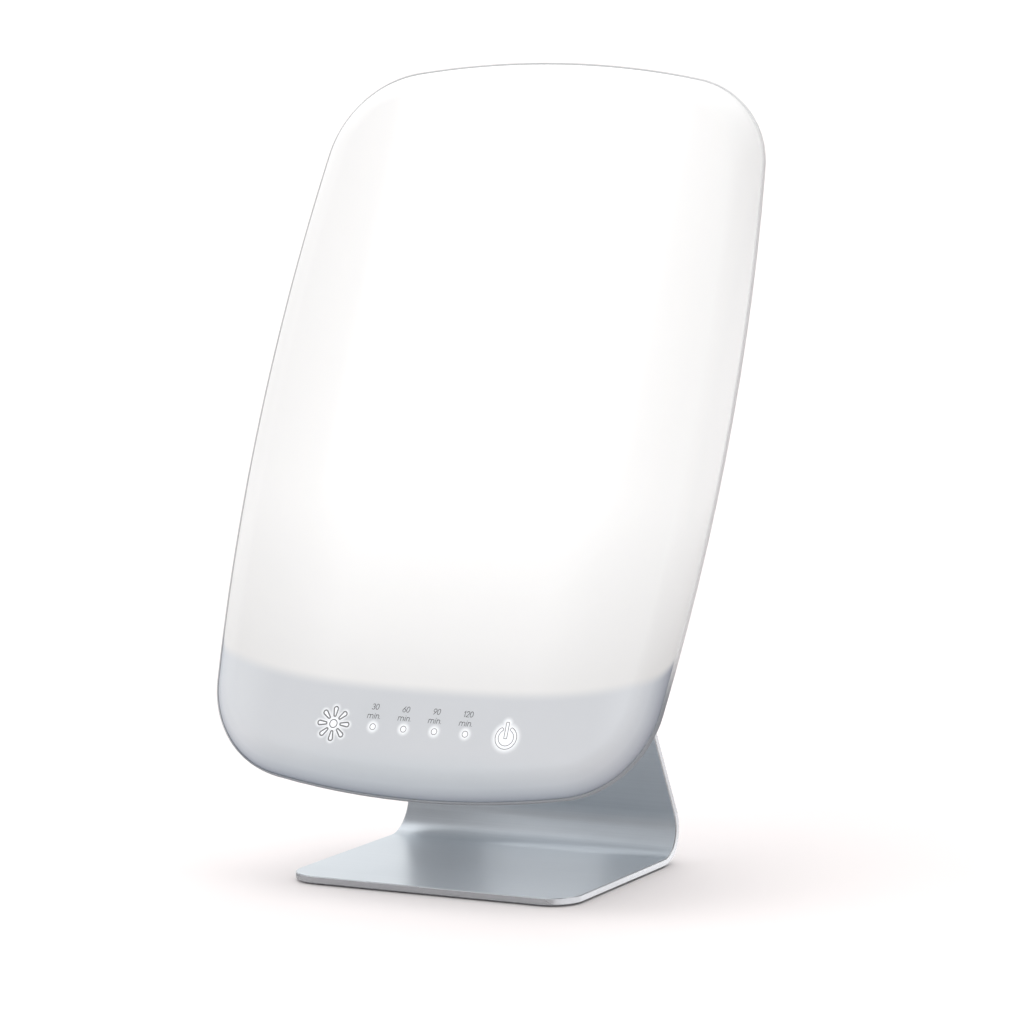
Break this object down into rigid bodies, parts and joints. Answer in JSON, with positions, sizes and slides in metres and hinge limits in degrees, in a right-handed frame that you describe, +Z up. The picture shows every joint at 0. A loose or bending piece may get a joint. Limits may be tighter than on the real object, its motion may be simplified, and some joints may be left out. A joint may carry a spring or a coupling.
{
  "type": "light therapy lamp",
  "caption": "Bright light therapy lamp: a large opal light panel with a touch control strip, tilting on a bent metal stand.",
  "frame": {"origin": "centre of the lamp on the surface it stands on", "axes": "+Z up, -Y out of the lit face towards the user, +X to the right of someone looking at the lit face"},
  "size_m": [0.3726, 0.2454, 0.5654],
  "materials": {
    "black_foam": "closed-cell foam",
    "black_plastic": "moulded, fine grain",
    "black_screw": "black oxide",
    "bright_steel": "turned, bright",
    "bronze": "sintered bronze",
    "capacitor_sleeve": "shrink sleeve",
    "circuit_board": "green solder mask",
    "contact_brass": "nickel over brass",
    "dark_rubber": "soft matt",
    "diffuser_film": "translucent",
    "ferrite": "coated ferrite with copper winding",
    "housing_plastic": "fine spark-eroded texture",
    "light_chip": "phosphor fill",
    "nylon_white": "natural nylon",
    "opal_cover": "opal acrylic, satin",
    "ribbon_grey": "flat cable",
    "satin_aluminium": "brushed and clear anodised",
    "spring_steel": "blued",
    "strip_board": "white solder mask on aluminium",
    "tray_white": "white reflective coat",
    "wire_sleeve": "soft sleeve",
    "zinc_steel": "zinc plated"
  },
  "bodies": {
    "stand": {"disc_springs": "spring_steel", "foot_pads": "dark_rubber", "friction_washers": "nylon_white", "hinge_pin": "bright_steel", "lock_nut": "bright_steel", "stand_ear_left": "zinc_steel", "stand_ear_right": "zinc_steel", "stand_plate": "satin_aluminium", "stand_screw_washers": "bright_steel", "stand_screws": "bright_steel"},
    "head": {"board_ribbon": "ribbon_grey", "diffuser_sheet": "diffuser_film", "driver_board": "circuit_board", "driver_board_screws": "bright_steel", "driver_capacitors": "capacitor_sleeve", "driver_heatsink": "satin_aluminium", "driver_inductor": "ferrite", "front_cover": "opal_cover", "hinge_backing_plate": "zinc_steel", "hinge_bushings": "bronze", "hinge_knuckle": "zinc_steel", "housing_screws": "black_screw", "indicator_lights": "light_chip", "knuckle_screws": "bright_steel", "light_baffle": "black_foam", "light_chips": "light_chip", "light_frame": "black_plastic", "light_lead": "wire_sleeve", "light_strips": "strip_board", "power_inlet": "black_plastic", "power_inlet_nut": "bright_steel", "power_inlet_pin": "contact_brass", "power_lead": "wire_sleeve", "rear_housing": "housing_plastic", "reflector_tray": "tray_white", "rim_seal": "dark_rubber", "strip_plugs": "nylon_white", "terminal_blocks": "nylon_white", "touch_board": "circuit_board", "touch_board_screws": "bright_steel", "touch_springs": "bright_steel", "tray_screws": "bright_steel"}
  },
  "joints": [
    {"name": "tilt", "type": "hinge", "parent": "stand", "child": "head", "pos_m": [0, 0.005, 0.2409], "axis": [1, 0, 0], "range_deg": [-15, 20]}
  ]
}
